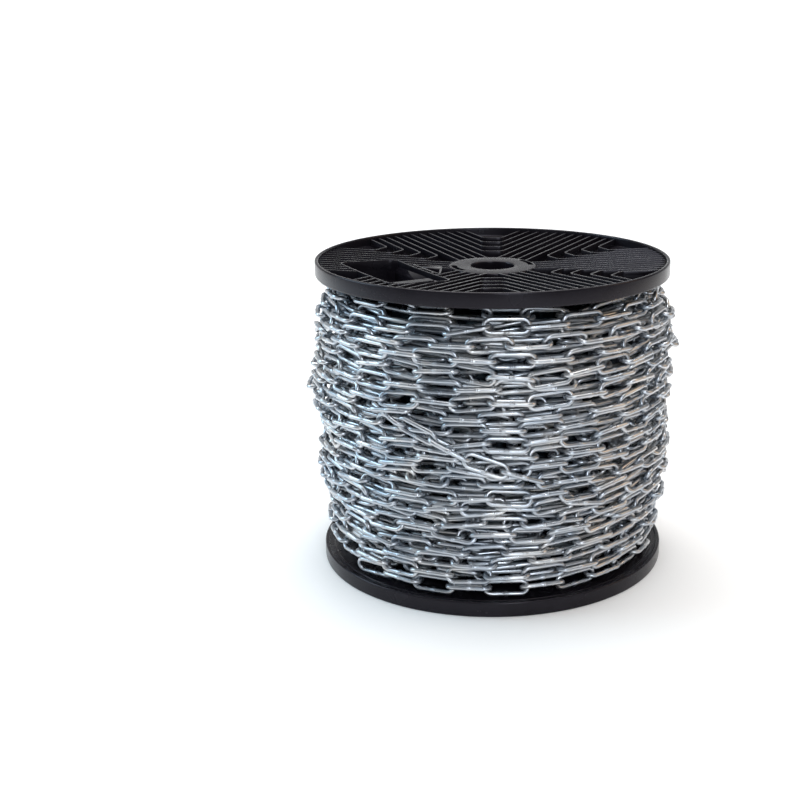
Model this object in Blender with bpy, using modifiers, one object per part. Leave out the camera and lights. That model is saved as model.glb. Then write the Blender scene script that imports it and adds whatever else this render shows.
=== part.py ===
"""Reel of welded steel chain: two ribbed plastic flanges, a barrel and the wound chain.

Metres, +Z up along the reel axis, the reel standing on its lower flange.
The origin is on the floor, on the reel axis, and -Y is the side that faces the viewer.
"""
import math

import bmesh
import bpy
from mathutils import Vector

# Driving dimensions of the reel
REEL_HEIGHT = 0.2200
FLANGE_RADIUS = 0.1250
RIM_HEIGHT = 0.0104
RIM_THICKNESS = 0.0026
RIM_CHAMFER = 0.0008
DISH_RADIUS = 0.1180
HUB_RADIUS = 0.0310
HUB_DROP = 0.0075
BORE_RADIUS = 0.0155
WEB_THICKNESS = 0.0020
FLANGE_SIDES = 48

# Two kidney-shaped slots in the hub, across from each other
HUB_SLOT_ANGLES = (math.radians(23), math.radians(203))
HUB_SLOT_HALF_SPAN = math.radians(20)
HUB_SLOT_INNER = 0.0255
HUB_SLOT_OUTER = 0.0292
HUB_SLOT_DEPTH = 0.0050
HUB_SLOT_STEPS = 4

# Ribs of the dished face: in each of six sectors they run straight out beside its centre
# line, and the outer ones meet those of the next sector in chevrons
SECTORS = 6
RIB_PITCH = 0.0075
RIB_THICKNESS = 0.0014
RIB_DROP_AT_RIM = 0.0035
WEB_DROP_AT_RIM = 0.0070
WEB_DROP_AT_HUB = 0.0125
STRAIGHT_RIBS = 2
CHEVRONS = 4
CHEVRON_FLAT_HALF = 0.0075
RIB_EMBED = 0.0010

# Rectangular pocket let into the ribs: a raised frame with cut corners, a narrow ledge on
# the hub's side, a flat pad at one end, and between them a box that reaches below the web
POCKET_ANGLE = math.radians(210)
POCKET_NEAR = 0.0551
POCKET_FAR = 0.0998
POCKET_HALF_LENGTH = 0.0430
POCKET_CORNER = 0.0045
FRAME_RISE = 0.0015
LEDGE_WIDTH = 0.0035
LEDGE_DROP = 0.0125
PAD_NEAR = 0.0690
PAD_WIDTH = 0.0080
PAD_DROP = 0.0045
BOX_FAR = 0.0920
BOX_FLOOR_DROP = 0.0185
BOX_TOP_DROP = 0.0100
BOX_WALL = 0.0010
FRAME_INNER = 0.0006

# Three-cornered well between the pocket and the hub
WELL_CORNERS = ((-0.0560, -0.0035), (-0.0360, -0.0055), (-0.0360, -0.0375))

# Barrel between the flanges
BARREL_RADIUS = 0.0500
BARREL_WALL = 0.0025
SEAT_OUTER = 0.0535
COLLAR_HEIGHT = 0.0060
COLLAR_WALL = 0.0025

# Wound chain: 3 mm wire, links 32 mm by 12 mm, 28 links to a turn
GAP = 0.0003
WIRE = 0.0030
LINK_WIDTH = 0.0120
LINKS_PER_TURN = 28
TURNS = 21
LAYER_BOTTOM = 0.0125
LAYER_TOP = 0.2075
LAYER_OUTLINE = ((LAYER_BOTTOM, 0.1180), (0.0270, 0.1215), (0.0830, 0.1255),
                 (0.1360, 0.1280), (0.1780, 0.1260), (LAYER_TOP, 0.1215))
GAP_DEPTH = 0.0130
CORE_RADIUS = 0.1060
LAYER_FLOOR_RADIUS = CORE_RADIUS + GAP + 0.0015

# Each link has two columns of points, at the ends of its straight legs, and each turn
# has four rows: a flat link's wires are ridges, an edge-on link's wire is a narrow crest
TURN_STEP = (LAYER_TOP - LAYER_BOTTOM) / TURNS
ROWS_PER_TURN = 4
LINK_MIDDLE_SHARE = 0.25
LEG_HALF_SHARE = 0.36
CREST_HALF = 0.0010
FLANK_WIDTH = 0.0024

MERGE_DISTANCE = 0.00001
SECTOR_HALF = math.pi / SECTORS
SEAT_DROP = WEB_DROP_AT_HUB + WEB_THICKNESS
CLEAR = 0.0500


def dished(radius, drop_at_rim, drop_at_hub):
    """Height on a cone that falls from the edge of the dish to the hub."""
    share = (DISH_RADIUS - radius) / (DISH_RADIUS - HUB_RADIUS)
    return -(drop_at_rim + (drop_at_hub - drop_at_rim) * share)


def rib_top(radius):
    return dished(radius, RIB_DROP_AT_RIM, HUB_DROP)


def web_top(radius):
    return dished(radius, WEB_DROP_AT_RIM, WEB_DROP_AT_HUB)


def web_under(radius):
    """Inner face of the flange: the same cone, flat from the barrel's seat inward."""
    if radius < SEAT_OUTER:
        return -SEAT_DROP
    share = (radius - SEAT_OUTER) / (DISH_RADIUS - SEAT_OUTER)
    rim_side = -WEB_DROP_AT_RIM - WEB_THICKNESS
    return -SEAT_DROP + (rim_side + SEAT_DROP) * share


def make_material(name, colour, roughness, metallic):
    material = bpy.data.materials.new(name)
    material.use_nodes = True
    shader = material.node_tree.nodes["Principled BSDF"]
    shader.inputs["Base Color"].default_value = (*colour, 1.0)
    shader.inputs["Roughness"].default_value = roughness
    shader.inputs["Metallic"].default_value = metallic
    return material


def add_object(name, mesh, collection, material=None):
    item = bpy.data.objects.new(name, mesh)
    collection.objects.link(item)
    if material:
        mesh.materials.append(material)
    return item


def hide_tool(item):
    item.hide_render = True
    item.display_type = "WIRE"
    return item


def turned(name, profile, sides, collection, material=None):
    """Solid of revolution from a closed outline of (radius, height) points."""
    mesh = bpy.data.meshes.new(name)
    count = len(profile)
    edges = [(i, (i + 1) % count) for i in range(count)]
    mesh.from_pydata([(r, 0.0, z) for r, z in profile], edges, [])
    item = add_object(name, mesh, collection, material)
    screw = item.modifiers.new("turn", "SCREW")
    screw.steps = sides
    screw.render_steps = sides
    screw.use_merge_vertices = True
    screw.merge_threshold = MERGE_DISTANCE
    return item


def baked(item, name, collection, material=None):
    """New object that holds the evaluated mesh of another, which is removed."""
    depsgraph = bpy.context.evaluated_depsgraph_get()
    mesh = bpy.data.meshes.new_from_object(item.evaluated_get(depsgraph))
    bpy.data.objects.remove(item)
    mesh.name = name
    mesh.materials.clear()
    return add_object(name, mesh, collection, material)


def polar(radius, angle):
    return Vector((radius * math.cos(angle), radius * math.sin(angle)))


def reach_along(start, direction, radius):
    """Point where the ray from start along direction meets the circle of that radius."""
    half = start.dot(direction)
    step = -half + math.sqrt(half * half + radius * radius - start.length_squared)
    return start + direction * step


def straight_ribs(rib_end):
    """Ribs that run from the hub to the rim beside each sector's centre line."""
    paths = []
    foot = HUB_RADIUS - RIB_EMBED
    for sector in range(SECTORS):
        angle = 2 * SECTOR_HALF * sector
        along = polar(1.0, angle)
        across = polar(1.0, angle + math.pi / 2)
        for number in range(-STRAIGHT_RIBS, STRAIGHT_RIBS):
            offset = RIB_PITCH * (number + 0.5)
            start = along * math.sqrt(foot * foot - offset * offset) + across * offset
            paths.append([start, reach_along(start, along, rib_end)])
    return paths


def chevron_ribs(rib_end):
    """Nested chevrons on each sector edge, with a short flat toward the hub."""
    paths = []
    for sector in range(SECTORS):
        angle = SECTOR_HALF * (2 * sector + 1)
        along = polar(1.0, angle)
        across = polar(1.0, angle + math.pi / 2)
        for number in range(STRAIGHT_RIBS, STRAIGHT_RIBS + CHEVRONS):
            tip = RIB_PITCH * (number + 0.5) / math.sin(SECTOR_HALF)
            flat = along * (tip + CHEVRON_FLAT_HALF / math.tan(SECTOR_HALF))
            left = flat + across * CHEVRON_FLAT_HALF
            right = flat - across * CHEVRON_FLAT_HALF
            left_end = reach_along(left, polar(1.0, angle + SECTOR_HALF), rib_end)
            right_end = reach_along(right, polar(1.0, angle - SECTOR_HALF), rib_end)
            paths.append([left_end, left, right, right_end])
    return paths


def walls(name, paths, closed, rise, collection):
    """Upright walls along plan paths, from inside the web to a rise above the rib tops."""
    builder = bmesh.new()
    for path in paths:
        low = [builder.verts.new((p.x, p.y, web_top(p.length) - RIB_EMBED)) for p in path]
        pairs = list(zip(low, low[1:]))
        if closed:
            pairs.append((low[-1], low[0]))
        edges = [builder.edges.new(pair) for pair in pairs]
        raised = bmesh.ops.extrude_edge_only(builder, edges=edges)["geom"]
        for vertex in raised:
            if isinstance(vertex, bmesh.types.BMVert):
                vertex.co.z = rib_top(vertex.co.xy.length) + rise
    mesh = bpy.data.meshes.new(name)
    builder.to_mesh(mesh)
    builder.free()
    item = add_object(name, mesh, collection)
    solid = item.modifiers.new("thickness", "SOLIDIFY")
    solid.thickness = RIB_THICKNESS
    solid.offset = 0.0
    solid.use_even_offset = True
    return hide_tool(item)


def block(name, corners, low, high, collection):
    """Upright prism over a plan outline, to be added or cut away."""
    builder = bmesh.new()
    base = [builder.verts.new((p.x, p.y, low)) for p in corners]
    face = builder.faces.new(base)
    raised = bmesh.ops.extrude_face_region(builder, geom=[face])["geom"]
    for vertex in raised:
        if isinstance(vertex, bmesh.types.BMVert):
            vertex.co.z = high
    bmesh.ops.recalc_face_normals(builder, faces=builder.faces)
    mesh = bpy.data.meshes.new(name)
    builder.to_mesh(mesh)
    builder.free()
    return hide_tool(add_object(name, mesh, collection))


def pocket_outline(near, far, low, high, low_cut=0.0, high_cut=0.0):
    """Plan outline along and across the pocket's direction, its corners cut off by end."""
    along = polar(1.0, POCKET_ANGLE)
    across = polar(1.0, POCKET_ANGLE + math.pi / 2)
    places = [(near, low + low_cut), (near + low_cut, low), (far - low_cut, low),
              (far, low + low_cut), (far, high - high_cut), (far - high_cut, high),
              (near + high_cut, high), (near, high - high_cut)]
    distinct = dict.fromkeys(places)
    return [along * a + across * b for a, b in distinct]


def box_outline(grow):
    """Plan outline of the pocket's box, grown outward all round."""
    half = POCKET_HALF_LENGTH + grow
    return pocket_outline(POCKET_NEAR + LEDGE_WIDTH - grow, BOX_FAR + grow, -half, half)


def hub_slot_outline(angle):
    """Plan outline of a kidney-shaped slot that is centred on an angle."""
    turns = [angle + HUB_SLOT_HALF_SPAN * (2 * step / HUB_SLOT_STEPS - 1)
             for step in range(HUB_SLOT_STEPS + 1)]
    return ([polar(HUB_SLOT_OUTER, turn) for turn in turns]
            + [polar(HUB_SLOT_INNER, turn) for turn in reversed(turns)])


def add_boolean(item, operation, tool):
    modifier = item.modifiers.new(operation.lower(), "BOOLEAN")
    modifier.operation = operation
    modifier.object = tool


def flange_profile():
    """Closed outline of the flange without ribs, clockwise, rim plane at height 0."""
    rim_inner = FLANGE_RADIUS - RIM_THICKNESS
    collar_outer = BARREL_RADIUS - BARREL_WALL - GAP
    collar_inner = collar_outer - COLLAR_WALL
    return [
        (rim_inner, web_top(rim_inner)),
        (rim_inner, -RIM_CHAMFER),
        (rim_inner + RIM_CHAMFER, 0.0),
        (FLANGE_RADIUS - RIM_CHAMFER, 0.0),
        (FLANGE_RADIUS, -RIM_CHAMFER),
        (FLANGE_RADIUS, -RIM_HEIGHT + RIM_CHAMFER),
        (FLANGE_RADIUS - RIM_CHAMFER, -RIM_HEIGHT),
        (rim_inner, -RIM_HEIGHT),
        (rim_inner - RIM_CHAMFER, web_under(DISH_RADIUS)),
        (DISH_RADIUS, web_under(DISH_RADIUS)),
        (SEAT_OUTER, -SEAT_DROP),
        (collar_outer, -SEAT_DROP),
        (collar_outer, -SEAT_DROP - COLLAR_HEIGHT),
        (collar_inner, -SEAT_DROP - COLLAR_HEIGHT),
        (collar_inner, -SEAT_DROP),
        (BORE_RADIUS, -SEAT_DROP),
        (BORE_RADIUS, -HUB_DROP),
        (HUB_RADIUS, -HUB_DROP),
        (HUB_RADIUS, web_top(HUB_RADIUS)),
    ]


def pocket_tools(tools):
    """What the pocket adds to the web and what it cuts from it, in that order."""
    end = POCKET_HALF_LENGTH - FRAME_INNER
    pad = POCKET_HALF_LENGTH - PAD_WIDTH
    ledge = POCKET_NEAR + LEDGE_WIDTH
    added = [
        block("box", box_outline(BOX_WALL), -BOX_FLOOR_DROP - WEB_THICKNESS, -BOX_TOP_DROP, tools),
        block("pad", pocket_outline(PAD_NEAR, POCKET_FAR - POCKET_CORNER, pad, POCKET_HALF_LENGTH),
              -BOX_TOP_DROP, -PAD_DROP, tools),
    ]
    shelf = pocket_outline(POCKET_NEAR + FRAME_INNER, BOX_FAR, -end, pad - GAP, POCKET_CORNER)
    deep = pocket_outline(ledge, BOX_FAR - GAP, GAP - end, pad - 2 * GAP, POCKET_CORNER)
    removed = [block("ledge_room", shelf, -LEDGE_DROP, CLEAR, tools),
               block("box_room", deep, -BOX_FLOOR_DROP, CLEAR, tools)]
    return added, removed


def flange_mesh(parts, tools):
    """One flange, ribs up, with its rim plane at height 0."""
    rib_end = FLANGE_RADIUS - RIM_THICKNESS + RIB_EMBED
    ribs = walls("ribs", straight_ribs(rib_end) + chevron_ribs(rib_end), False, 0.0, tools)
    pocket = pocket_outline(POCKET_NEAR, POCKET_FAR, -POCKET_HALF_LENGTH, POCKET_HALF_LENGTH,
                            POCKET_CORNER, POCKET_CORNER)
    well = [Vector(corner) for corner in WELL_CORNERS]
    for name, outline in (("pocket", pocket), ("well", well)):
        add_boolean(ribs, "DIFFERENCE", block(name + "_clear", outline, -CLEAR, CLEAR, tools))
    added, removed = pocket_tools(tools)
    added = [ribs, walls("pocket_frame", [pocket], True, FRAME_RISE, tools),
             walls("well_wall", [well], True, 0.0, tools)] + added
    removed += [block("hub_slot", hub_slot_outline(angle), -HUB_DROP - HUB_SLOT_DEPTH, CLEAR, tools)
                for angle in HUB_SLOT_ANGLES]
    web = baked(turned("web", flange_profile(), FLANGE_SIDES, tools), "web_solid", tools)
    for tool in added:
        add_boolean(web, "UNION", tool)
    for tool in removed:
        add_boolean(web, "DIFFERENCE", tool)
    return baked(web, "flange", parts).data


def place_both_ways(top, bottom):
    """Put one object on the reel's top and its twin, turned over, on the floor."""
    top.location.z = REEL_HEIGHT
    bottom.rotation_euler.x = math.pi


def make_flanges(parts, tools, plastic):
    mesh = flange_mesh(parts, tools)
    bpy.data.objects.remove(bpy.data.objects["flange"])
    mesh.materials.append(plastic)
    place_both_ways(add_object("flange_top", mesh, parts), add_object("flange_bottom", mesh, parts))


def make_barrel(parts, plastic):
    low = SEAT_DROP + GAP
    high = REEL_HEIGHT - low
    inner = BARREL_RADIUS - BARREL_WALL
    outline = [(inner, high), (BARREL_RADIUS, high), (BARREL_RADIUS, low), (inner, low)]
    turned("barrel", outline, FLANGE_SIDES, parts, plastic)


def face_height(radius):
    """Height above the floor of the lower flange's inner face, plus the seating gap."""
    return -web_under(radius) + GAP


def make_core(parts, tools, steel):
    """Plain core in place of the hidden windings, with room for the pockets' boxes."""
    inner = BARREL_RADIUS + GAP
    heights = [face_height(SEAT_OUTER), face_height(SEAT_OUTER), face_height(CORE_RADIUS)]
    low = list(zip((inner, SEAT_OUTER, CORE_RADIUS), heights))
    high = [(radius, REEL_HEIGHT - height) for radius, height in low]
    core = turned("chain_core", high + low[::-1], 2 * LINKS_PER_TURN, parts, steel)
    rooms = [block(name, box_outline(BOX_WALL + GAP), -BOX_FLOOR_DROP - WEB_THICKNESS - GAP, CLEAR,
                   tools) for name in ("room_top", "room_bottom")]
    place_both_ways(*rooms)
    for room in rooms:
        add_boolean(core, "DIFFERENCE", room)


def outline_radius(height):
    """Outer radius of the winding at a height, between the points of its outline."""
    for (z0, r0), (z1, r1) in zip(LAYER_OUTLINE, LAYER_OUTLINE[1:]):
        if height <= z1:
            return r0 + (r1 - r0) * (height - z0) / (z1 - z0)
    return LAYER_OUTLINE[-1][1]


def link_rows():
    """Rows of a flat link and of the edge-on link a turn above: height and depth."""
    leg = (LINK_WIDTH - WIRE) / 2
    hole = leg - FLANK_WIDTH
    return [(-leg, leg), (-hole, GAP_DEPTH), (hole, GAP_DEPTH), (leg, leg),
            (TURN_STEP - FLANK_WIDTH, GAP_DEPTH), (TURN_STEP - CREST_HALF, 0.0),
            (TURN_STEP + CREST_HALF, 0.0), (TURN_STEP + FLANK_WIDTH, GAP_DEPTH)]


def layer_profile():
    """Outline of the outer layer before its links are shaped: four rows to a turn."""
    rows = TURNS * ROWS_PER_TURN
    heights = [LAYER_BOTTOM + TURN_STEP * (row + 0.5) / ROWS_PER_TURN for row in range(rows)]
    inner = CORE_RADIUS + GAP
    low = face_height(inner)
    outer = [(outline_radius(height), height) for height in reversed(heights)]
    return [(inner, REEL_HEIGHT - low)] + outer + [(inner, low)]


def link_point(row, column, rows):
    """Place on the layer's face: links lie flat and edge-on by turns, along and across."""
    link, end = divmod(column, 2)
    shifted = row + ROWS_PER_TURN * (link % 2)
    pair, place = divmod(shifted, len(rows))
    offset, depth = rows[place]
    height = LAYER_BOTTOM + TURN_STEP * (0.5 + 2 * pair - link % 2) + offset
    radius = max(outline_radius(height) - depth, LAYER_FLOOR_RADIUS)
    share = link + LINK_MIDDLE_SHARE + LEG_HALF_SHARE * (2 * end - 1)
    flat = polar(radius, 2 * math.pi * share / LINKS_PER_TURN)
    return Vector((flat.x, flat.y, height))


def make_outer_layer(parts, tools, steel):
    """Outer layer of turns as one solid, with the gaps between turns and links cut in."""
    columns = 2 * LINKS_PER_TURN
    rows = link_rows()
    item = turned("layer_turned", layer_profile(), columns, tools)
    layer = baked(item, "chain_outer_layer", parts, steel)
    for vertex in layer.data.vertices:
        if vertex.co.xy.length < LAYER_FLOOR_RADIUS:
            continue
        angle = math.atan2(vertex.co.y, vertex.co.x)
        column = round(angle / (2 * math.pi) * columns) % columns
        row = math.floor((vertex.co.z - LAYER_BOTTOM) / TURN_STEP * ROWS_PER_TURN)
        vertex.co = link_point(row, column, rows)


def main():
    for item in list(bpy.data.objects):
        bpy.data.objects.remove(item, do_unlink=True)
    parts = bpy.data.collections.new("chain_reel")
    tools = bpy.data.collections.new("cutters")
    for collection in (parts, tools):
        bpy.context.scene.collection.children.link(collection)
    plastic = make_material("black_plastic", (0.020, 0.020, 0.022), 0.38, 0.0)
    steel = make_material("zinc_plated_steel", (0.75, 0.77, 0.80), 0.30, 1.0)
    make_flanges(parts, tools, plastic)
    make_barrel(parts, plastic)
    make_core(parts, tools, steel)
    make_outer_layer(parts, tools, steel)


main()
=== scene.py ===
"""Looks of the reel of steel chain: settled links, moulded flanges, zinc and black plastic."""
import math

import bmesh
import bpy
import numpy as np
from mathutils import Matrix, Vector


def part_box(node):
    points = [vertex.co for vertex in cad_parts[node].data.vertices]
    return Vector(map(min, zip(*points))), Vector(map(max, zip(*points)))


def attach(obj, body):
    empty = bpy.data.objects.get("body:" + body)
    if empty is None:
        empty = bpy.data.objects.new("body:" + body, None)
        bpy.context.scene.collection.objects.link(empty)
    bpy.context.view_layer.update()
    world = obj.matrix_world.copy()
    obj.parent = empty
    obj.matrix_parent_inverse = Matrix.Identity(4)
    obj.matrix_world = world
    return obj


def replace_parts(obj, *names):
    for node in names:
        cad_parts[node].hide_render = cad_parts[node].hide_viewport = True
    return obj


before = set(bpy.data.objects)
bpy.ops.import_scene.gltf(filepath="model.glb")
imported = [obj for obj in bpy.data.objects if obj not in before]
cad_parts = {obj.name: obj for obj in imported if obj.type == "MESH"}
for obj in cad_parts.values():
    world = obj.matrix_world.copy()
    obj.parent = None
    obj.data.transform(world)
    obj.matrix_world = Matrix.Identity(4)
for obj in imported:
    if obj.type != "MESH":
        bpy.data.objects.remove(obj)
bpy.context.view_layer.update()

# Reel, in metres; the hub and the ribs are drawn as high as in the photo, a little above the CAD's
REEL_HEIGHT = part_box("flange_top")[1][2]
FLANGE_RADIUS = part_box("flange_top")[1][0]
BARREL_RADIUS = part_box("barrel")[1][0]
BARREL_WALL = 0.0025
RIM_HEIGHT = 0.0104
RIM_THICKNESS = 0.0026
DISH_RADIUS = 0.1180
HUB_RADIUS = 0.0310
HUB_DROP = 0.0066
BORE_RADIUS = 0.0155
WEB_THICKNESS = 0.0020
COLLAR_HEIGHT = 0.0060
COLLAR_WALL = 0.0025
SEAT_OUTER = 0.0535
GAP = 0.0003
CLEAR = 0.0500
FLANGE_SIDES = 240
MERGE_WITHIN = 0.00001

# Edges of the flanges: rounding of the turned outline and of everything else that is moulded,
# slope at the rim's foot, and the bead under the web as (outward, downward) from the dish's edge
TURNED_ROUND = 0.0011
TURNED_ROUND_STEPS = 4
MOULDED_ROUND = 0.00035
MOULDED_ROUND_FROM = math.radians(50)
SHARP_FROM = math.radians(40)
ARC_SHARE = 0.45
RIM_SLOPE = 0.0008
UNDER_BEAD = ((0.0012, 0.0), (0.0004, 0.0007), (-0.0004, 0.0))

# Two kidney-shaped slots in the hub
HUB_SLOT_ANGLES = (math.radians(23), math.radians(203))
HUB_SLOT_HALF_SPAN = math.radians(20)
HUB_SLOT_INNER = 0.0255
HUB_SLOT_OUTER = 0.0292
HUB_SLOT_DEPTH = 0.0050
HUB_SLOT_STEPS = 8

# Ribs of the dished face
SECTORS = 6
SECTOR_HALF = math.pi / SECTORS
RIB_PITCH = 0.0075
RIB_THICKNESS = 0.0014
RIB_DROP_AT_RIM = 0.0019
WEB_DROP_AT_RIM = 0.0070
WEB_DROP_AT_HUB = 0.0125
STRAIGHT_RIBS = 2
CHEVRONS = 4
CHEVRON_FLAT_HALF = 0.0075
CORNER_ROUND = 0.0030
CORNER_STEPS = 4
RIB_SPACING = 0.0020
FRAME_SPACING = 0.0040
RIM_OVERLAP = 0.0005
HUB_OVERLAP = 0.0010
WEB_OVERLAP = 0.0010
SEAT_DROP = WEB_DROP_AT_HUB + WEB_THICKNESS

# Pocket let into the ribs: frame, ledge with a slope above it, deep box and pad
POCKET_ANGLE = math.radians(210)
POCKET_NEAR = 0.0551
POCKET_FAR = 0.0998
POCKET_HALF_LENGTH = 0.0430
POCKET_CORNER = 0.0045
FRAME_RISE = 0.0002
FRAME_INNER = 0.0006
LEDGE_WIDTH = 0.0035
LEDGE_DROP = 0.0125
PAD_NEAR = 0.0690
PAD_WIDTH = 0.0080
PAD_DROP = 0.0030
BOX_FAR = 0.0920
BOX_FLOOR_DROP = 0.0185
BOX_TOP_DROP = 0.0100
BOX_WALL = 0.0010
SLOPE_DROP = 0.0085

# Three-cornered well between pocket and hub, with a flat ledge along its far side
WELL_CORNERS = ((-0.0560, -0.0035), (-0.0360, -0.0055), (-0.0360, -0.0375))
WELL_LEDGE = ((-0.0553, -0.0040), (-0.0364, -0.0059), (-0.0364, -0.0175), (-0.0440, -0.0130))
WELL_LEDGE_DROP = 0.0062

# Chain, in millimetres: links of 3 mm wire, drawn as full as in the photo, and how they are wound
MM = 0.001
WIRE = 3.2
LEG_HALF = 10.0
BEND = 4.5
JOINT_REACH = LEG_HALF + BEND - WIRE / 2
PITCH = 2 * JOINT_REACH
JOINT_SLIDE = 2.4
TURN_STEP = 9.3
LAYERS = 3
LAYER_STEP = 8.6
CENTRE_DEPTH = 5.2
CORE_DEPTH = 29.8
CHAIN_LOW = 10.7
CHAIN_HIGH = 209.3
CORE_LOW = 21.5
CORE_HIGH = 198.5
CORE_STEPS = 24
CORE_SIDES = 96
OUTLINE_HEIGHTS = (12.5, 27.0, 83.0, 136.0, 178.0, 207.5)
OUTLINE_RADII = (118.0, 121.5, 125.5, 128.0, 126.0, 121.5)
SEED = 7

# How unevenly it is wound: (how much, over how many links) in turns, millimetres and radians
LINKS_AT_MOST = 900
TURN_WANDER = (0.012, 35)
HEIGHT_WANDER = (2.1, 6)
RADIUS_WANDER = (1.2, 5)
ROLL_WANDER = (0.30, 8)
ROLL_SCATTER = 0.14

# Where the winding swells or draws in, and where single links stand out of it:
# degrees, height, outward and upward shift, spread along and up
SWELLS = ((0.0, 165.0, 2.5, 0.0, 60.0, 45.0), (0.0, 76.0, 4.5, 0.0, 60.0, 26.0),
          (0.0, 50.0, 3.5, 0.0, 60.0, 13.0), (0.0, 121.0, -2.0, 0.0, 50.0, 8.0),
          (180.0, 125.0, 7.0, 0.0, 45.0, 10.0), (180.0, 104.0, -8.0, 0.0, 45.0, 10.0),
          (180.0, 72.0, 4.0, 0.0, 45.0, 10.0), (180.0, 144.0, 2.5, 0.0, 45.0, 12.0),
          (250.0, 95.0, -1.5, 0.0, 60.0, 14.0), (75.0, 140.0, 2.5, 0.0, 60.0, 25.0),
          (120.0, 70.0, 3.0, 0.0, 60.0, 20.0))
LIFTS = ((359.0, 163.5, 10.5, 0.0, 24.0, 4.5), (2.0, 186.0, 4.0, 1.0, 26.0, 6.0),
         (357.0, 128.0, 3.0, -1.0, 26.0, 4.0), (300.0, 150.0, 2.5, 3.0, 30.0, 4.0),
         (225.0, 150.0, 3.0, -4.0, 30.0, 4.0), (330.0, 70.0, 2.5, 4.0, 30.0, 4.0),
         (238.0, 72.0, 2.5, 4.0, 40.0, 4.0), (283.0, 168.0, 2.0, -4.0, 40.0, 4.0),
         (90.0, 120.0, 3.0, 4.0, 30.0, 4.0), (45.0, 60.0, 3.0, -4.0, 30.0, 4.0),
         (135.0, 90.0, 3.0, 4.0, 30.0, 4.0), (150.0, 160.0, 3.0, -4.0, 30.0, 4.0))

# A slack strand that lies over the others: degrees, height and shift from their centre line
STRAY = ((224.0, 139.0, -9.0), (234.0, 137.0, -3.0), (242.6, 131.0, 1.5), (253.7, 121.0, 4.0),
         (261.5, 115.0, 5.5), (274.6, 99.0, 5.5), (285.0, 97.0, 2.5), (296.3, 92.0, -2.0),
         (308.0, 90.0, -9.0))
STRAY_MIDDLE = 268.0

# Settling: how often and how far apart links are paired, from where wires are watched and pushed
# apart, play of a hook, how easily a link swings and rolls against moving, bounds on each step
SETTLE_STEPS = 160
PAIR_EVERY = 8
PAIR_REACH = 36.0
WATCHED_REACH = WIRE + 2.0
WIRE_DISTANCE = WIRE + 0.08
HOOK_PLAY = 0.2
SWING_EASE = 1 / 90.0
ROLL_EASE = 1 / 20.0
OUTLINE_SLACK = 1.0
OUTLINE_SHARE = 0.5
RELAX = 1.5
TURN_LIMIT = 0.12

# Shape of a link: where its bends are cut in the settling, as shares of the bend, and the weld's
# bead as (place along the leg, swelling)
BEND_CUT_ALONG = 0.73
BEND_CUT_ACROSS = 0.7
WELD_BEAD = ((-2.2, 1.0), (-1.4, 1.05), (-0.8, 1.2), (-0.25, 1.2), (0.0, 1.04),
             (0.25, 1.2), (0.8, 1.2), (1.4, 1.05), (2.2, 1.0))

# Detail by layer: sides of the wire, steps in a bend, whether the weld shows, number of meshes
LAYER_DETAIL = ((12, 8, True, 3), (8, 6, False, 1), (6, 5, False, 1))

# Looks: colours by noise level, and roughness of the smoothest and dullest places
ZINC_COLOURS = ((0.32, (0.43, 0.47, 0.52)), (0.52, (0.54, 0.56, 0.59)),
                (0.70, (0.66, 0.65, 0.64)))
# Near-black colours of the deeper windings: painted shade, not the zinc's own colour
INNER_PAINTED_SHADE_COLOURS = ((0.40, (0.008, 0.014, 0.020)), (0.60, (0.08, 0.11, 0.13)))
PLASTIC_COLOURS = ((0.35, (0.006, 0.005, 0.007)), (0.65, (0.010, 0.009, 0.012)))
PLASTIC_TINT = (0.96, 0.90, 1.0, 1.0)
ROUGHNESS_LEVELS = (0.30, 0.70)
ZINC_ROUGHNESS = (0.26, 0.38)
INNER_ROUGHNESS = 0.5
MOULDED_ROUGHNESS = (0.18, 0.30)
POLISHED_ROUGHNESS = (0.05, 0.12)
MOULDED_GLOSS = 0.23
POLISHED_GLOSS = 0.50
BUMP_HEIGHT = 0.0002

# Studio, in metres: floor, wall and lights as (name, place, target, size, power, colour)
FLOOR_HALF = 5.0
WALL_PLACE = 2.2
WALL_WHITE_TO = 0.45
WALL_TOP = 4.0
STAGE_TONES = (("pale_floor", 0.92), ("grey_wall", 0.26))
STAGE_ROUGHNESS = 0.8
WORLD_COLOUR = (0.92, 0.96, 1.0, 1.0)
WORLD_STRENGTH = 0.28
MIDDLE = (0.0, 0.0, REEL_HEIGHT / 2)
LIGHTS = (("overhead", (0.05, 0.1, 1.7), MIDDLE, (1.6, 1.2), 25.0, (1.0, 0.98, 0.95)),
          ("front", (0.32, -1.5, 0.75), MIDDLE, (0.4, 0.7), 7.4, (0.84, 0.92, 1.0)),
          ("left", (-1.3, 0.1, 0.75), MIDDLE, (0.8, 0.7), 9.0, (0.60, 0.84, 1.0)),
          ("right", (1.3, 0.0, 0.75), MIDDLE, (0.6, 0.7), 2.1, (1.0, 0.66, 0.36)),
          ("wall", (-0.3, 0.9, 2.0), (-0.3, 2.2, 0.6), (3.4, 0.8), 52.0, (1.0, 1.0, 1.0)))

# Camera, solved from the two rims: distances in flange radii, lens and axis in pixels
CAMERA_AWAY = 7.2515
CAMERA_ABOVE_RIM = 1.3358
CAMERA_TILT = 17.11
FOCAL_PIXELS = 1293.7
WIDTH_PIXELS = 800
AXIS_PIXEL = (492.5, 407.15)
SENSOR_WIDTH = 36.0


def outline_radius(height):
    """Outer radius of the whole winding at a height."""
    return np.interp(height, OUTLINE_HEIGHTS, OUTLINE_RADII)


def wander(count, much_and_span, rng):
    """Smooth noise along the chain, of a strength and over about so many links."""
    much, span = much_and_span
    knots = rng.standard_normal(int(count / span) + 4)
    place = np.arange(count) / span
    knot = place.astype(int)
    blend = place - knot
    blend = blend * blend * (3 - 2 * blend)
    return much * (knots[knot] * (1 - blend) + knots[knot + 1] * blend)


def unit(rows):
    return rows / np.linalg.norm(rows, axis=1)[:, None]


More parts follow.
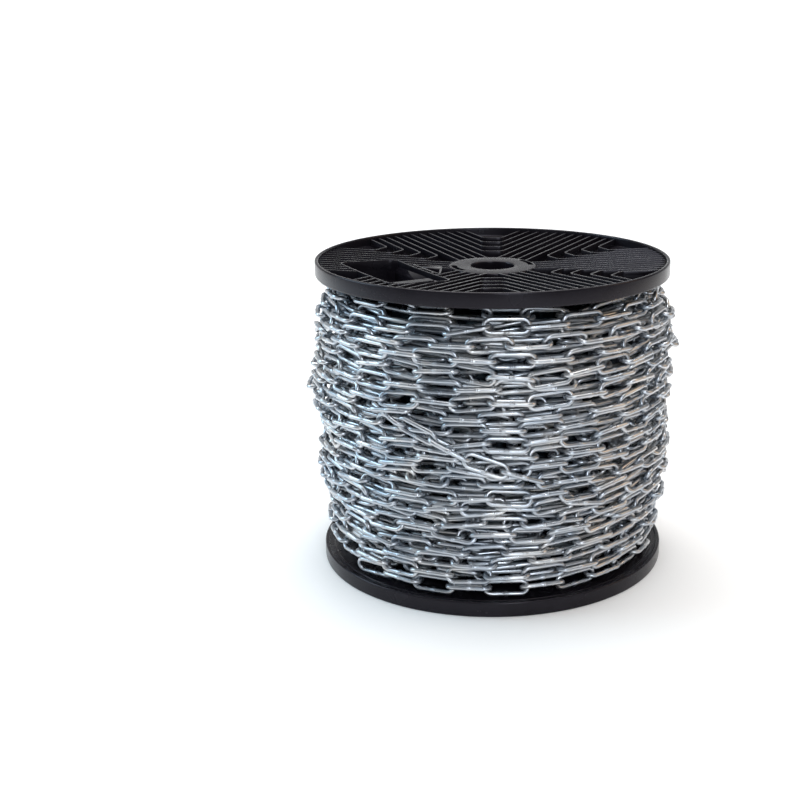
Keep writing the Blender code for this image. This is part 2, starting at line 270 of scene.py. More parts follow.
def dot(a, b):
    return np.einsum("ij,ij->i", a, b)


def links_in_turn(radius):
    """Odd number, so that flat and edge-on links mostly take turns across the winding."""
    number = math.ceil(2 * math.pi * radius / PITCH)
    return number + 1 - number % 2


def hooked(centres, roll):
    """Centres, directions and side vectors of links strung through the centres."""
    along = unit(np.gradient(centres, axis=0))
    outward = unit(centres * [1, 1, 0])
    side = unit(np.cross(along, outward))
    outward = np.cross(side, along)
    across = side * np.cos(roll)[:, None] + outward * np.sin(roll)[:, None]
    return centres, along, across


def on_drum(radius, angle, height):
    """Points from their radius, angle and height."""
    return np.stack([radius * np.cos(angle), radius * np.sin(angle), height], 1)


def lay_layer(layer, rng):
    """Links of one layer along a helix, and how far each may stand out."""
    points = []
    height = CHAIN_LOW + WIRE * 2
    angle = rng.uniform(0, 2 * math.pi)
    drift = 1 + wander(LINKS_AT_MOST, TURN_WANDER, rng)
    while height < CHAIN_HIGH - WIRE * 2:
        radius = outline_radius(height) - CENTRE_DEPTH - LAYER_STEP * layer
        number = links_in_turn(radius) * drift[len(points)]
        points.append((radius, angle, height))
        angle += 2 * math.pi / number
        height += TURN_STEP / number
    radius, angle, height = np.array(points).T
    count = len(radius)
    stand_out = np.zeros(count)
    rise = np.zeros(count)
    for degrees, middle, outward, upward, span, spread in SWELLS + (() if layer else LIFTS):
        turn = (angle - math.radians(degrees) + math.pi) % (2 * math.pi) - math.pi
        share = np.exp(-(turn * radius / span) ** 2 - ((height - middle) / spread) ** 2)
        stand_out += outward * share
        rise += upward * share
    height = height + rise + wander(count, HEIGHT_WANDER, rng)
    radius = radius + stand_out + wander(count, RADIUS_WANDER, rng)
    if layer % 2:
        height = CHAIN_LOW + CHAIN_HIGH - height
    roll = math.pi / 2 * (np.arange(count) % 2)
    roll = roll + wander(count, ROLL_WANDER, rng) + ROLL_SCATTER * rng.standard_normal(count)
    return hooked(on_drum(radius, angle, height), roll), stand_out


def lay_stray():
    """Links of the slack strand, spaced along its path from its middle both ways."""
    angles, heights, shifts = (np.array(row) for row in zip(*STRAY))
    angles = np.radians(angles)
    radii = outline_radius(heights) - CENTRE_DEPTH
    lengths = np.hypot(np.diff(angles) * radii[1:], np.diff(heights))
    place = np.concatenate([[0.0], np.cumsum(lengths)])
    middle = np.interp(math.radians(STRAY_MIDDLE), angles, place)
    before = int(middle / PITCH)
    after = int((place[-1] - middle) / PITCH)
    spots = middle + PITCH * np.arange(-before, after + 1)
    shift = np.interp(spots, place, shifts)
    radius = np.interp(spots, place, radii) + shift
    centres = on_drum(radius, np.interp(spots, place, angles), np.interp(spots, place, heights))
    roll = math.pi / 2 * (np.arange(-before, after + 1) % 2)
    return hooked(centres, roll), np.maximum(shift, 0.0)


# Wire centre line of a link as a closed polygon of (along, across) points
CUT_X = LEG_HALF + BEND * BEND_CUT_ALONG
CUT_Y = BEND * BEND_CUT_ACROSS
SHAPE = np.array([(sign * x, sign * y) for sign in (1, -1)
                  for x, y in ((-LEG_HALF, BEND), (LEG_HALF, BEND), (CUT_X, CUT_Y),
                               (LEG_HALF + BEND, 0), (CUT_X, -CUT_Y))])
STARTS = np.arange(len(SHAPE))
ENDS = (STARTS + 1) % len(SHAPE)


class Chain:
    """Rigid links that hook into each other, settled by moving them apart step by step."""

    def __init__(self):
        rng = np.random.default_rng(SEED)
        strands = [lay_layer(layer, rng) for layer in range(LAYERS)] + [lay_stray()]
        links = [links for links, stand_out in strands]
        self.centre, self.along, self.across = (np.concatenate(rows) for rows in zip(*links))
        self.stand_out = np.concatenate([stand_out for links, stand_out in strands])
        counts = [len(stand_out) for links, stand_out in strands]
        self.layer = np.repeat([0, 1, 2, 0], counts)
        strand = np.repeat(np.arange(len(strands)), counts)
        self.first = np.nonzero(strand[1:] == strand[:-1])[0]
        self.second = self.first + 1

    def wire_points(self):
        """Corners of every link's wire polygon."""
        return (self.centre[:, None] + SHAPE[None, :, :1] * self.along[:, None]
                + SHAPE[None, :, 1:] * self.across[:, None])


def link_pairs(centre, reach):
    """Pairs of links whose centres lie within reach, found by sorting them into cells."""
    cell = np.floor(centre / reach).astype(int)
    cell -= cell.min(0)
    size = cell.max(0) + 3
    key = (cell[:, 0] * size[1] + cell[:, 1]) * size[2] + cell[:, 2]
    order = np.argsort(key, kind="stable")
    ordered = key[order]
    found = []
    steps = (-1, 0, 1)
    for dx, dy, dz in ((x, y, z) for x in steps for y in steps for z in steps):
        other = key + (dx * size[1] + dy) * size[2] + dz
        low = np.searchsorted(ordered, other, "left")
        number = np.searchsorted(ordered, other, "right") - low
        a = np.repeat(np.arange(len(centre)), number)
        begin = np.repeat(low - np.concatenate([[0], np.cumsum(number)[:-1]]), number)
        b = order[begin + np.arange(number.sum())]
        found.append(np.stack([a[a < b], b[a < b]], 1))
    pairs = np.concatenate(found)
    apart = centre[pairs[:, 0]] - centre[pairs[:, 1]]
    return pairs[dot(apart, apart) < reach * reach]


def near_segments(chain):
    """Wire segments of different links that may touch soon."""
    first, second = link_pairs(chain.centre, PAIR_REACH).T
    points = chain.wire_points()
    middle = 0.5 * (points[:, STARTS] + points[:, ENDS])
    half = 0.5 * np.linalg.norm(points[0, STARTS] - points[0, ENDS], axis=1)
    apart = np.linalg.norm(middle[first][:, :, None] - middle[second][:, None, :], axis=3)
    pair, a, b = np.nonzero(apart < half[:, None] + half[None, :] + WATCHED_REACH)
    return first[pair], a, second[pair], b


def closest(p1, q1, p2, q2):
    """Closest points of two lists of segments."""
    d1 = q1 - p1
    d2 = q2 - p2
    r = p1 - p2
    a = dot(d1, d1)
    e = dot(d2, d2)
    b = dot(d1, d2)
    c = dot(d1, r)
    f = dot(d2, r)
    spread = a * e - b * b
    s = np.where(spread > 1e-6, np.clip((b * f - c * e) / np.maximum(spread, 1e-6), 0, 1), 0.5)
    t = np.clip((b * s + f) / e, 0, 1)
    s = np.clip((b * t - c) / a, 0, 1)
    return p1 + d1 * s[:, None], p2 + d2 * t[:, None]


def wall_contacts(points, owner, stand_out):
    """Wire points that reach into the core, past the outline or into a flange."""
    radius = np.linalg.norm(points[:, :2], axis=1)
    outward = points * [1, 1, 0] / radius[:, None]
    up = np.tile([0.0, 0.0, 1.0], (len(points), 1))
    limit = outline_radius(points[:, 2])
    half = WIRE / 2
    for depth, direction, share in (
            (limit - CORE_DEPTH + half - radius, outward, 1.0),
            (radius - limit - stand_out[owner] - OUTLINE_SLACK + half, -outward, OUTLINE_SHARE),
            (CHAIN_LOW + half - points[:, 2], up, 1.0),
            (points[:, 2] - CHAIN_HIGH + half, -up, 1.0)):
        hit = depth > 0
        yield owner[hit], direction[hit], depth[hit] * share, points[hit]


def settle(chain, steps):
    """Push overlapping wires apart and pull hooked links together, step by step."""
    count = len(chain.centre)
    owner = np.repeat(np.arange(count), len(SHAPE))
    for step in range(steps):
        if step % PAIR_EVERY == 0:
            first, seg_a, second, seg_b = near_segments(chain)
        points = chain.wire_points()
        p, q = closest(points[first, STARTS[seg_a]], points[first, ENDS[seg_a]],
                       points[second, STARTS[seg_b]], points[second, ENDS[seg_b]])
        apart = np.linalg.norm(p - q, axis=1)
        hit = apart < WIRE_DISTANCE
        body_a = [first[hit]]
        body_b = [second[hit]]
        normal = [(p - q)[hit] / np.maximum(apart[hit], 1e-6)[:, None]]
        depth = [WIRE_DISTANCE - apart[hit]]
        place_a = [p[hit]]
        place_b = [q[hit]]
        hook_a = chain.centre[chain.first] + JOINT_REACH * chain.along[chain.first]
        hook_b = chain.centre[chain.second] - JOINT_REACH * chain.along[chain.second]
        ahead = chain.along[chain.first]
        slide = np.clip(dot(hook_b - hook_a, ahead), -JOINT_SLIDE, 0.0)
        miss = hook_b - hook_a - slide[:, None] * ahead
        gap = np.linalg.norm(miss, axis=1)
        loose = gap > HOOK_PLAY
        body_a.append(chain.first[loose])
        body_b.append(chain.second[loose])
        normal.append(miss[loose] / gap[loose][:, None])
        depth.append(gap[loose] - HOOK_PLAY)
        place_a.append(hook_a[loose])
        place_b.append(hook_b[loose])
        for who, direction, much, where in wall_contacts(points.reshape(-1, 3), owner,
                                                         chain.stand_out):
            body_a.append(who)
            body_b.append(np.full(len(who), -1))
            normal.append(direction)
            depth.append(much)
            place_a.append(where)
            place_b.append(where)
        a, b, n, d, pa, pb = (np.concatenate(rows) for rows in
                              (body_a, body_b, normal, depth, place_a, place_b))
        free = b >= 0

        def lever(body, place):
            arm = np.cross(place - chain.centre[body], n)
            roll = dot(arm, chain.along[body])[:, None] * chain.along[body]
            swing = arm - roll
            weight = 1 + dot(swing, swing) * SWING_EASE + dot(roll, roll) * ROLL_EASE
            return weight, swing * SWING_EASE + roll * ROLL_EASE

        weight_a, turn_a = lever(a, pa)
        weight_b, turn_b = lever(b, pb)
        push = (d / (weight_a + weight_b * free))[:, None]
        touches = np.bincount(a, minlength=count) + np.bincount(b[free], minlength=count)
        relax = (RELAX / np.maximum(touches, RELAX))[:, None]

        def summed(for_a, for_b):
            return np.stack([np.bincount(a, for_a[:, k], count)
                             - np.bincount(b[free], for_b[free, k], count)
                             for k in range(3)], 1) * relax

        chain.centre += summed(n * push, n * push)
        turn = summed(turn_a * push, turn_b * push)
        size = np.maximum(np.linalg.norm(turn, axis=1), 1e-9)
        turn *= np.minimum(1, TURN_LIMIT / size)[:, None]
        chain.along = unit(chain.along + np.cross(turn, chain.along))
        across = chain.across + np.cross(turn, chain.across)
        chain.across = unit(across - dot(across, chain.along)[:, None] * chain.along)


def link_template(sides, bend_steps, weld):
    """Points and quads of one link round the origin, as (along, across, out) and indices."""
    stations = []
    half = WIRE / 2
    for sign in (1, -1):
        leg = [(-LEG_HALF, half)]
        if weld and sign > 0:
            leg += [(x, half * swell) for x, swell in WELD_BEAD]
        for x, wire in leg:
            stations.append((sign * x, sign * BEND, 0.0, sign, wire))
        for number in range(bend_steps):
            angle = math.pi / 2 - math.pi * number / bend_steps
            x = LEG_HALF + BEND * math.cos(angle)
            y = BEND * math.sin(angle)
            stations.append((sign * x, sign * y, sign * math.cos(angle), sign * math.sin(angle),
                             half))
    rings = []
    for x, y, nx, ny, wire in stations:
        for side in range(sides):
            angle = 2 * math.pi * side / sides
            rings.append((x + nx * wire * math.cos(angle), y + ny * wire * math.cos(angle),
                          wire * math.sin(angle)))
    quads = []
    total = len(stations)
    for station in range(total):
        for side in range(sides):
            here = station * sides
            there = (station + 1) % total * sides
            after = (side + 1) % sides
            quads.append((here + side, there + side, there + after, here + after))
    return np.array(rings), np.array(quads)


def links_mesh(name, chain, chosen, template):
    """One mesh of many links, in metres."""
    rings, quads = template
    normal = np.cross(chain.along, chain.across)
    axes = np.stack([chain.along, chain.across, normal], 1)[chosen]
    points = np.einsum("pk,nkj->npj", rings, axes) + chain.centre[chosen][:, None]
    points = (points * MM).reshape(-1, 3).astype(np.float32)
    faces = (quads[None] + len(rings) * np.arange(len(chosen))[:, None, None]).reshape(-1, 4)
    mesh = bpy.data.meshes.new(name)
    mesh.vertices.add(len(points))
    mesh.vertices.foreach_set("co", points.ravel())
    mesh.loops.add(faces.size)
    mesh.loops.foreach_set("vertex_index", faces.ravel().astype(np.int32))
    mesh.polygons.add(len(faces))
    mesh.polygons.foreach_set("loop_start", np.arange(0, faces.size, 4, dtype=np.int32))
    mesh.polygons.foreach_set("loop_total", np.full(len(faces), 4, dtype=np.int32))
    mesh.update(calc_edges=True)
    mesh.validate()
    mesh.shade_smooth()
    return mesh


def add_piece(name, mesh, material):
    """Visible piece that rides with the reel."""
    piece = bpy.data.objects.new(name, mesh)
    bpy.context.scene.collection.objects.link(piece)
    mesh.materials.clear()
    mesh.materials.append(material)
    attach(piece, "root")
    return piece


def in_pocket_box(chain):
    """True for links that would enter the box of a pocket, above or below."""
    points = chain.wire_points() * MM
    reach = WIRE * MM
    entered = np.zeros(len(points), bool)
    for flip in (1, -1):
        x, y = points[..., 0], points[..., 1] * flip
        from_rim = REEL_HEIGHT - points[..., 2] if flip > 0 else points[..., 2]
        along = x * math.cos(POCKET_ANGLE) + y * math.sin(POCKET_ANGLE)
        across = y * math.cos(POCKET_ANGLE) - x * math.sin(POCKET_ANGLE)
        entered |= ((along > POCKET_NEAR) & (along < BOX_FAR + BOX_WALL + reach)
                    & (abs(across) < POCKET_HALF_LENGTH + BOX_WALL + reach)
                    & (from_rim < BOX_FLOOR_DROP + WEB_THICKNESS + reach)).any(1)
    return entered


def make_chain(steel, painted_shade_zinc):
    """The three outer layers of the winding, and a plain drum for what lies below them, coloured
    with painted shade.
    """
    chain = Chain()
    settle(chain, SETTLE_STEPS)
    kept = (chain.layer == 0) | ~in_pocket_box(chain)
    for layer, (sides, bend_steps, weld, meshes) in enumerate(LAYER_DETAIL):
        template = link_template(sides, bend_steps, weld)
        rows = np.nonzero((chain.layer == layer) & kept)[0]
        for band, chosen in enumerate(np.array_split(rows, meshes)):
            name = f"chain_layer_{layer + 1}_{band + 1}"
            piece = add_piece(name, links_mesh(name, chain, chosen, template), steel)
            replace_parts(piece, "chain_core" if layer else "chain_outer_layer")
    heights = np.linspace(CORE_LOW, CORE_HIGH, CORE_STEPS)
    outer = [((outline_radius(h) - CORE_DEPTH) * MM, h * MM) for h in heights[::-1]]
    inner = [(BARREL_RADIUS + GAP, CORE_LOW * MM), (BARREL_RADIUS + GAP, CORE_HIGH * MM)]
    drum = baked(turned("inner", outer + inner, CORE_SIDES))
    drum.shade_smooth()
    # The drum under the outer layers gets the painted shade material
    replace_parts(add_piece("inner_windings", drum, painted_shade_zinc), "chain_core")


def turned(name, profile, sides):
    """Object turned from a closed outline of (radius, height) points."""
    mesh = bpy.data.meshes.new(name)
    count = len(profile)
    edges = [(i, (i + 1) % count) for i in range(count)]
    mesh.from_pydata([(r, 0.0, z) for r, z in profile], edges, [])
    item = bpy.data.objects.new(name, mesh)
    bpy.context.scene.collection.objects.link(item)
    screw = item.modifiers.new("turn", "SCREW")
    screw.steps = sides
    screw.render_steps = sides
    screw.use_merge_vertices = True
    screw.merge_threshold = MERGE_WITHIN
    return item


def baked(item):
    """Evaluated mesh of an object, which is removed."""
    depsgraph = bpy.context.evaluated_depsgraph_get()
    mesh = bpy.data.meshes.new_from_object(item.evaluated_get(depsgraph))
    bpy.data.objects.remove(item)
    return mesh


def dished(radius, drop_at_rim, drop_at_hub):
    """Height of a cone that drops evenly from the dish's edge to the hub."""
    share = (DISH_RADIUS - radius) / (DISH_RADIUS - HUB_RADIUS)
    return -(drop_at_rim + (drop_at_hub - drop_at_rim) * share)


def rib_top(radius):
    return dished(radius, RIB_DROP_AT_RIM, HUB_DROP)


def web_top(radius):
    return dished(radius, WEB_DROP_AT_RIM, WEB_DROP_AT_HUB)


def corner_arc(before, corner, after, radius, steps):
    """Points of a short arc in place of a corner, within its share of both sides."""
    back = before - corner
    ahead = after - corner
    size = min(radius, back.length * ARC_SHARE, ahead.length * ARC_SHARE)
    start = corner + back.normalized() * size
    end = corner + ahead.normalized() * size
    return [start * (1 - t) ** 2 + corner * 2 * t * (1 - t) + end * t * t
            for t in (step / steps for step in range(steps + 1))]


def rounded(points, radius, steps):
    """Closed outline with its corners rounded by short arcs."""
    corners = [Vector(point) for point in points]
    result = []
    for before, corner, after in zip(corners[-1:] + corners, corners, corners[1:] + corners[:1]):
        result += [tuple(point) for point in corner_arc(before, corner, after, radius, steps)]
    return result


def flange_profile():
    """Outline of the flange without ribs, clockwise, rim plane at height 0."""
    rim_inner = FLANGE_RADIUS - RIM_THICKNESS
    under = -WEB_DROP_AT_RIM - WEB_THICKNESS
    collar_outer = BARREL_RADIUS - BARREL_WALL - GAP
    collar_inner = collar_outer - COLLAR_WALL
    points = [
        (rim_inner, web_top(rim_inner)),
        (rim_inner, 0.0),
        (FLANGE_RADIUS, 0.0),
        (FLANGE_RADIUS, -RIM_HEIGHT),
        (rim_inner, -RIM_HEIGHT),
        (rim_inner - RIM_SLOPE, under),
        *((DISH_RADIUS + outward, under - downward) for outward, downward in UNDER_BEAD),
        (SEAT_OUTER, -SEAT_DROP),
        (collar_outer, -SEAT_DROP),
        (collar_outer, -SEAT_DROP - COLLAR_HEIGHT),
        (collar_inner, -SEAT_DROP - COLLAR_HEIGHT),
        (collar_inner, -SEAT_DROP),
        (BORE_RADIUS, -SEAT_DROP),
        (BORE_RADIUS, -HUB_DROP),
        (HUB_RADIUS, -HUB_DROP),
        (HUB_RADIUS, web_top(HUB_RADIUS)),
    ]
    return rounded(points, TURNED_ROUND, TURNED_ROUND_STEPS)


def polar(radius, angle):
    return Vector((radius * math.cos(angle), radius * math.sin(angle)))


def axes_at(angle):
    """Plan directions outward and to the left at an angle."""
    return polar(1.0, angle), polar(1.0, angle + math.pi / 2)


def reach_along(start, direction, radius):
    """Where a straight line from a point leaves a circle round the axis."""
    half = start.dot(direction)
    step = -half + math.sqrt(half * half + radius * radius - start.length_squared)
    return start + direction * step


def rib_paths():
    """Plan paths of all ribs: straight ones beside sector centres, chevrons between."""
    end = FLANGE_RADIUS - RIM_THICKNESS + RIM_OVERLAP
    foot = HUB_RADIUS - HUB_OVERLAP
    paths = []
    for sector in range(SECTORS):
        angle = 2 * SECTOR_HALF * sector
        along, across = axes_at(angle)
        for number in range(-STRAIGHT_RIBS, STRAIGHT_RIBS):
            offset = RIB_PITCH * (number + 0.5)
            start = along * math.sqrt(foot * foot - offset * offset) + across * offset
            paths.append([start, reach_along(start, along, end)])
        angle += SECTOR_HALF
        along, across = axes_at(angle)
        for number in range(STRAIGHT_RIBS, STRAIGHT_RIBS + CHEVRONS):
            tip = RIB_PITCH * (number + 0.5) / math.sin(SECTOR_HALF)
            flat = along * (tip + CHEVRON_FLAT_HALF / math.tan(SECTOR_HALF))
            left = flat + across * CHEVRON_FLAT_HALF
            right = flat - across * CHEVRON_FLAT_HALF
            left_end = reach_along(left, polar(1.0, angle + SECTOR_HALF), end)
            right_end = reach_along(right, polar(1.0, angle - SECTOR_HALF), end)
            paths.append([left_end, left, right, right_end])
    return paths


def resampled(path, spacing):
    """Path with rounded corners and a point about every spacing."""
    soft = [path[0]]
    for before, corner, after in zip(path, path[1:], path[2:]):
        soft += corner_arc(before, corner, after, CORNER_ROUND, CORNER_STEPS)
    soft.append(path[-1])
    points = []
    for a, b in zip(soft, soft[1:]):
        steps = max(1, round((b - a).length / spacing))
        points += [a.lerp(b, k / steps) for k in range(steps)]
    return points + [soft[-1]]


def inside(point, corners):
    """True where a point lies inside a convex outline, either way round."""
    sides = []
    for a, b in zip(corners, corners[1:] + corners[:1]):
        edge = b - a
        off = point - a
        sides.append(edge.x * off.y - edge.y * off.x)
    return all(s > 0 for s in sides) or all(s < 0 for s in sides)


def pocket_outline(near, far, low, high, low_cut=0.0, high_cut=0.0):
    """Plan outline along and across the pocket's direction, its corners cut off by end."""
    along, across = axes_at(POCKET_ANGLE)
    places = [(near, low + low_cut), (near + low_cut, low), (far - low_cut, low),
              (far, low + low_cut), (far, high - high_cut), (far - high_cut, high),
              (near + high_cut, high), (near, high - high_cut)]
    return [along * a + across * b for a, b in dict.fromkeys(places)]


def clear_runs(path, outlines):
    """Stretches of a path that lie outside the given outlines, ending on their edges."""
    halvings = 10

    def blocked(point):
        return any(inside(point, outline) for outline in outlines)

    def edge(free, covered):
        for _ in range(halvings):
            middle = free.lerp(covered, 0.5)
            free, covered = (free, middle) if blocked(middle) else (middle, covered)
        return free

    runs = [[path[0]]] if not blocked(path[0]) else [[]]
    for before, point in zip(path, path[1:]):
        if blocked(point):
            if not blocked(before):
                runs[-1].append(edge(before, point))
                runs.append([])
            continue
        if blocked(before):
            runs[-1].append(edge(point, before))
        runs[-1].append(point)
    return [run for run in runs if len(run) > 1]


def wall_mesh(paths, rise=0.0, closed=False):
    """Upright walls along plan paths, rooted in the web, with rounded tops."""
    builder = bmesh.new()
    for path in paths:
        low = [builder.verts.new((p.x, p.y, web_top(p.length) - WEB_OVERLAP)) for p in path]
        pairs = list(zip(low, low[1:]))
        if closed:
            pairs.append((low[-1], low[0]))
        edges = [builder.edges.new(pair) for pair in pairs]
        raised = bmesh.ops.extrude_edge_only(builder, edges=edges)["geom"]
        for vertex in raised:
            if isinstance(vertex, bmesh.types.BMVert):
                vertex.co.z = rib_top(vertex.co.xy.length) + rise
    item = mesh_object("walls", builder)
    solid = item.modifiers.new("thickness", "SOLIDIFY")
    solid.thickness = RIB_THICKNESS
    solid.offset = 0.0
    solid.use_even_offset = True
    return softened(item)


def frame_mesh(outline, rise):
    """Closed wall round a plan outline."""
    return wall_mesh([resampled(outline + outline[:1], FRAME_SPACING)[:-1]], rise, True)


def mesh_object(name, builder):
    mesh = bpy.data.meshes.new(name)
    builder.to_mesh(mesh)
    builder.free()
    item = bpy.data.objects.new(name, mesh)
    bpy.context.scene.collection.objects.link(item)
    return item


def softened(item):
    """Mesh of an object with its edges rounded."""
    soften = item.modifiers.new("round", "BEVEL")
    soften.width = MOULDED_ROUND
    soften.segments = 2
    soften.limit_method = "ANGLE"
    soften.angle_limit = MOULDED_ROUND_FROM
    return baked(item)


def block(name, corners, low, high):
    """Upright prism over a plan outline, to be added or cut away."""
    builder = bmesh.new()
    face = builder.faces.new([builder.verts.new((p.x, p.y, low)) for p in corners])
    raised = bmesh.ops.extrude_face_region(builder, geom=[face])["geom"]
    for vertex in raised:
        if isinstance(vertex, bmesh.types.BMVert):
            vertex.co.z = high
    bmesh.ops.recalc_face_normals(builder, faces=builder.faces)
    return mesh_object(name, builder)


def hub_slot_outline(angle):
    """Plan outline of a kidney-shaped slot."""
    turns = [angle + HUB_SLOT_HALF_SPAN * (step / HUB_SLOT_STEPS - 1)
             for step in range(2 * HUB_SLOT_STEPS + 1)]
    return ([polar(HUB_SLOT_OUTER, turn) for turn in turns]
            + [polar(HUB_SLOT_INNER, turn) for turn in reversed(turns)])


def pocket_tools():
    """What the pocket adds to the web and what it cuts from it."""
    grown = POCKET_HALF_LENGTH + BOX_WALL
    end = POCKET_HALF_LENGTH - FRAME_INNER
    pad = POCKET_HALF_LENGTH - PAD_WIDTH
    ledge = POCKET_NEAR + LEDGE_WIDTH
    box = pocket_outline(ledge - BOX_WALL, BOX_FAR + BOX_WALL, -grown, grown)
    flat = pocket_outline(PAD_NEAR, POCKET_FAR - POCKET_CORNER, pad, POCKET_HALF_LENGTH)
    shelf = pocket_outline(POCKET_NEAR + FRAME_INNER, BOX_FAR, -end, pad - GAP, POCKET_CORNER)
    deep = pocket_outline(ledge, BOX_FAR - GAP, GAP - end, pad - 2 * GAP, POCKET_CORNER)
    added = [block("box", box, -BOX_FLOOR_DROP - WEB_THICKNESS, -BOX_TOP_DROP),
             block("pad", flat, -BOX_TOP_DROP, -PAD_DROP)]
    removed = [block("ledge_room", shelf, -LEDGE_DROP, CLEAR),
               block("box_room", deep, -BOX_FLOOR_DROP, CLEAR)]
    removed += [block("hub_slot", hub_slot_outline(angle), -HUB_DROP - HUB_SLOT_DEPTH, CLEAR)
                for angle in HUB_SLOT_ANGLES]
    return added, removed


def flange_mesh():
    """Fine flange, ribs up, rim plane at height 0."""
    body = turned("body", flange_profile(), FLANGE_SIDES)
    added, removed = pocket_tools()
    for operation, tools in (("UNION", added), ("DIFFERENCE", removed)):
        for tool in tools:
            cut = body.modifiers.new(tool.name, "BOOLEAN")
            cut.operation = operation
            cut.object = tool
    parts = [baked(body)]
    for tool in added + removed:
        bpy.data.objects.remove(tool)
    pocket = pocket_outline(POCKET_NEAR, POCKET_FAR, -POCKET_HALF_LENGTH, POCKET_HALF_LENGTH,
                            POCKET_CORNER, POCKET_CORNER)
    well = [Vector(corner) for corner in WELL_CORNERS]
    runs = []
    for path in rib_paths():
        runs += clear_runs(resampled(path, RIB_SPACING), [pocket, well])
    parts += [wall_mesh(runs), frame_mesh(pocket, FRAME_RISE), frame_mesh(well, 0.0)]
    return joined_mesh("flange_fine", parts)


def joined_mesh(name, parts):
    """One smoothly shaded mesh of several, which are removed."""
    joined = bmesh.new()
    for part in parts:
        joined.from_mesh(part)
        bpy.data.meshes.remove(part)
    mesh = bpy.data.meshes.new(name)
    joined.to_mesh(mesh)
    joined.free()
    mesh.shade_smooth()
    mesh.set_sharp_from_angle(angle=SHARP_FROM)
    return mesh


def polished_mesh():
    """Glossier faces of a flange: the well's ledge and the slope above the pocket's ledge."""
    ledge = [Vector(corner) for corner in WELL_LEDGE]
    parts = [softened(block("well_ledge", ledge, -WEB_DROP_AT_HUB, -WELL_LEDGE_DROP))]
    along, across = axes_at(POCKET_ANGLE)
    near = POCKET_NEAR + FRAME_INNER
    section = ((near, -SLOPE_DROP), (near, -LEDGE_DROP),
               (POCKET_NEAR + LEDGE_WIDTH, -LEDGE_DROP))
    reach = POCKET_HALF_LENGTH - POCKET_CORNER
    builder = bmesh.new()
    for side in (-reach, reach - PAD_WIDTH):
        for out, height in section:
            place = along * out + across * side
            builder.verts.new((place.x, place.y, height))
    bmesh.ops.convex_hull(builder, input=builder.verts)
    parts.append(softened(mesh_object("slope", builder)))
    return joined_mesh("polished", parts)


def make_flanges(plastic, polish):
    """Both flanges, the lower one turned over."""
    for name, mesh, material in (("fine", flange_mesh(), plastic),
                                 ("faces", polished_mesh(), polish)):
        top = add_piece(f"flange_top_{name}", mesh, material)
        top.location.z = REEL_HEIGHT
        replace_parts(top, "flange_top")
        bottom = add_piece(f"flange_bottom_{name}", mesh.copy(), material)
        bottom.rotation_euler.x = math.pi
        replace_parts(bottom, "flange_bottom")


class Surface:
    """Procedural material round one principled shader, with noise in the object's own metres."""

    def __init__(self, name):
        self.material = bpy.data.materials.new(name)
        self.material.use_nodes = True
        self.nodes = self.material.node_tree.nodes
        self.links = self.material.node_tree.links
        self.inputs = self.nodes["Principled BSDF"].inputs

    def noise(self, scale, detail=4.0):
        place = self.nodes.new("ShaderNodeTexCoord")
        texture = self.nodes.new("ShaderNodeTexNoise")
        texture.inputs["Scale"].default_value = scale
        texture.inputs["Detail"].default_value = detail
        self.links.new(place.outputs["Object"], texture.inputs["Vector"])
        return texture.outputs["Fac"]

    def shade(self, target, source, stops):
        """Drive a shader input by noise, through a ramp of (level, colour) stops."""
        item = self.nodes.new("ShaderNodeValToRGB")
        self.links.new(source, item.inputs["Fac"])
        while len(item.color_ramp.elements) < len(stops):
            item.color_ramp.elements.new(0.5)
        for element, (place, colour) in zip(item.color_ramp.elements, stops):
            element.position = place
            element.color = (*colour, 1.0)
        self.links.new(item.outputs["Color"], self.inputs[target])

    def roughen(self, source, roughness):
        stops = [(level, (value,) * 3) for level, value in zip(ROUGHNESS_LEVELS, roughness)]
        self.shade("Roughness", source, stops)

    def bump(self, source, strength):
        item = self.nodes.new("ShaderNodeBump")
        item.inputs["Strength"].default_value = strength
        item.inputs["Distance"].default_value = BUMP_HEIGHT
        self.links.new(source, item.inputs["Height"])
        self.links.new(item.outputs["Normal"], self.inputs["Normal"])


def zinc_material():
    """Bright zinc plating: cool grey metal, slightly cloudy, finely uneven."""
    surface = Surface("bright_zinc")
    surface.inputs["Metallic"].default_value = 1.0
    surface.shade("Base Color", surface.noise(scale=45.0), ZINC_COLOURS)
    fine = surface.noise(scale=260.0, detail=3.0)
    surface.roughen(fine, ZINC_ROUGHNESS)
    surface.bump(fine, strength=0.08)
    return surface.material


def inner_painted_shade_material():
    """Dull zinc of the windings that lie too deep to see, coloured near black: painted shade for
    the shadow between the outer links.
    """
    surface = Surface("inner_zinc_painted_shade")
    surface.inputs["Metallic"].default_value = 1.0
    surface.inputs["Roughness"].default_value = INNER_ROUGHNESS
    surface.shade("Base Color", surface.noise(scale=90.0), INNER_PAINTED_SHADE_COLOURS)
    return surface.material


def plastic_material(name, gloss, roughness):
    """Black plastic, moulded or polished, with a faint mould grain and light scuffs."""
    surface = Surface(name)
    surface.inputs["Specular IOR Level"].default_value = gloss
    surface.inputs["Specular Tint"].default_value = PLASTIC_TINT
    broad = surface.noise(scale=30.0)
    surface.shade("Base Color", broad, PLASTIC_COLOURS)
    surface.roughen(broad, roughness)
    surface.bump(surface.noise(scale=900.0, detail=5.0), strength=0.10)
    return surface.material


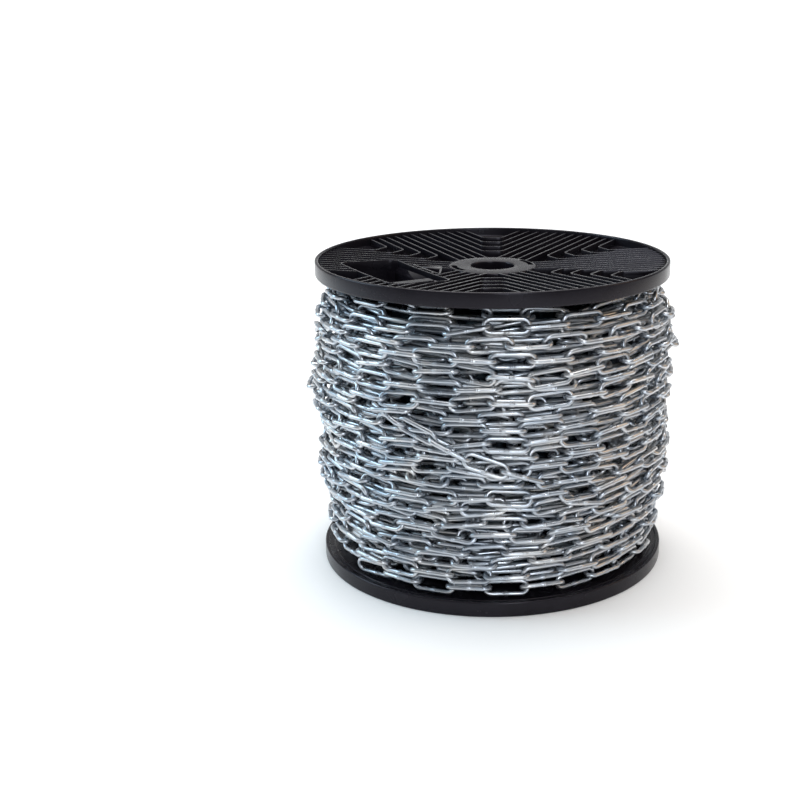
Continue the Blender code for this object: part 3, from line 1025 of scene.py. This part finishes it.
def make_stage():
    """White floor that ends at a wall behind the reel, white below and grey above."""
    mesh = bpy.data.meshes.new("floor")
    left, right = -FLOOR_HALF, FLOOR_HALF
    back = WALL_PLACE
    mesh.from_pydata([(left, left, 0), (right, left, 0), (right, back, 0), (left, back, 0),
                      (right, back, WALL_WHITE_TO), (left, back, WALL_WHITE_TO),
                      (right, back, WALL_TOP), (left, back, WALL_TOP)], [],
                     [(0, 1, 2, 3), (3, 2, 4, 5), (5, 4, 6, 7)])
    floor = bpy.data.objects.new("floor", mesh)
    bpy.context.scene.collection.objects.link(floor)
    for name, tone in STAGE_TONES:
        surface = Surface(name)
        surface.inputs["Base Color"].default_value = (tone, tone, tone, 1.0)
        surface.inputs["Roughness"].default_value = STAGE_ROUGHNESS
        mesh.materials.append(surface.material)
    mesh.polygons[2].material_index = 1


def add_light(name, place, target, size, power, colour):
    """Rectangular light that faces its target."""
    light = bpy.data.lights.new(name, "AREA")
    light.shape = "RECTANGLE"
    light.size, light.size_y = size
    light.energy = power
    light.color = colour
    item = bpy.data.objects.new(name, light)
    item.location = place
    aim = Vector(target) - Vector(place)
    item.rotation_euler = aim.to_track_quat("-Z", "Y").to_euler()
    bpy.context.scene.collection.objects.link(item)


def make_lights():
    """Soft box overhead, cool cards in front and left, a warm one right, one for the wall."""
    world = bpy.data.worlds.new("studio")
    world.use_nodes = True
    background = world.node_tree.nodes["Background"]
    background.inputs["Color"].default_value = WORLD_COLOUR
    background.inputs["Strength"].default_value = WORLD_STRENGTH
    bpy.context.scene.view_settings.view_transform = "Standard"
    bpy.context.scene.world = world
    for light in LIGHTS:
        add_light(*light)


def make_camera():
    """Camera at the photograph's place."""
    camera = bpy.data.cameras.new("camera")
    camera.sensor_width = SENSOR_WIDTH
    camera.lens = SENSOR_WIDTH * FOCAL_PIXELS / WIDTH_PIXELS
    camera.shift_x = (WIDTH_PIXELS / 2 - AXIS_PIXEL[0]) / WIDTH_PIXELS
    camera.shift_y = (AXIS_PIXEL[1] - WIDTH_PIXELS / 2) / WIDTH_PIXELS
    item = bpy.data.objects.new("camera", camera)
    item.location = (0.0, -CAMERA_AWAY * FLANGE_RADIUS,
                     REEL_HEIGHT + CAMERA_ABOVE_RIM * FLANGE_RADIUS)
    item.rotation_euler = (math.radians(90 - CAMERA_TILT), 0.0, 0.0)
    bpy.context.scene.collection.objects.link(item)
    bpy.context.scene.camera = item


def main():
    """Set up the studio, then dress the reel."""
    make_camera()
    make_stage()
    make_lights()
    plastic = plastic_material("black_moulded_plastic", MOULDED_GLOSS, MOULDED_ROUGHNESS)
    polish = plastic_material("black_polished_plastic", POLISHED_GLOSS, POLISHED_ROUGHNESS)
    make_chain(zinc_material(), inner_painted_shade_material())
    make_flanges(plastic, polish)
    bpy.data.objects["barrel"].material_slots[0].material = plastic


main()
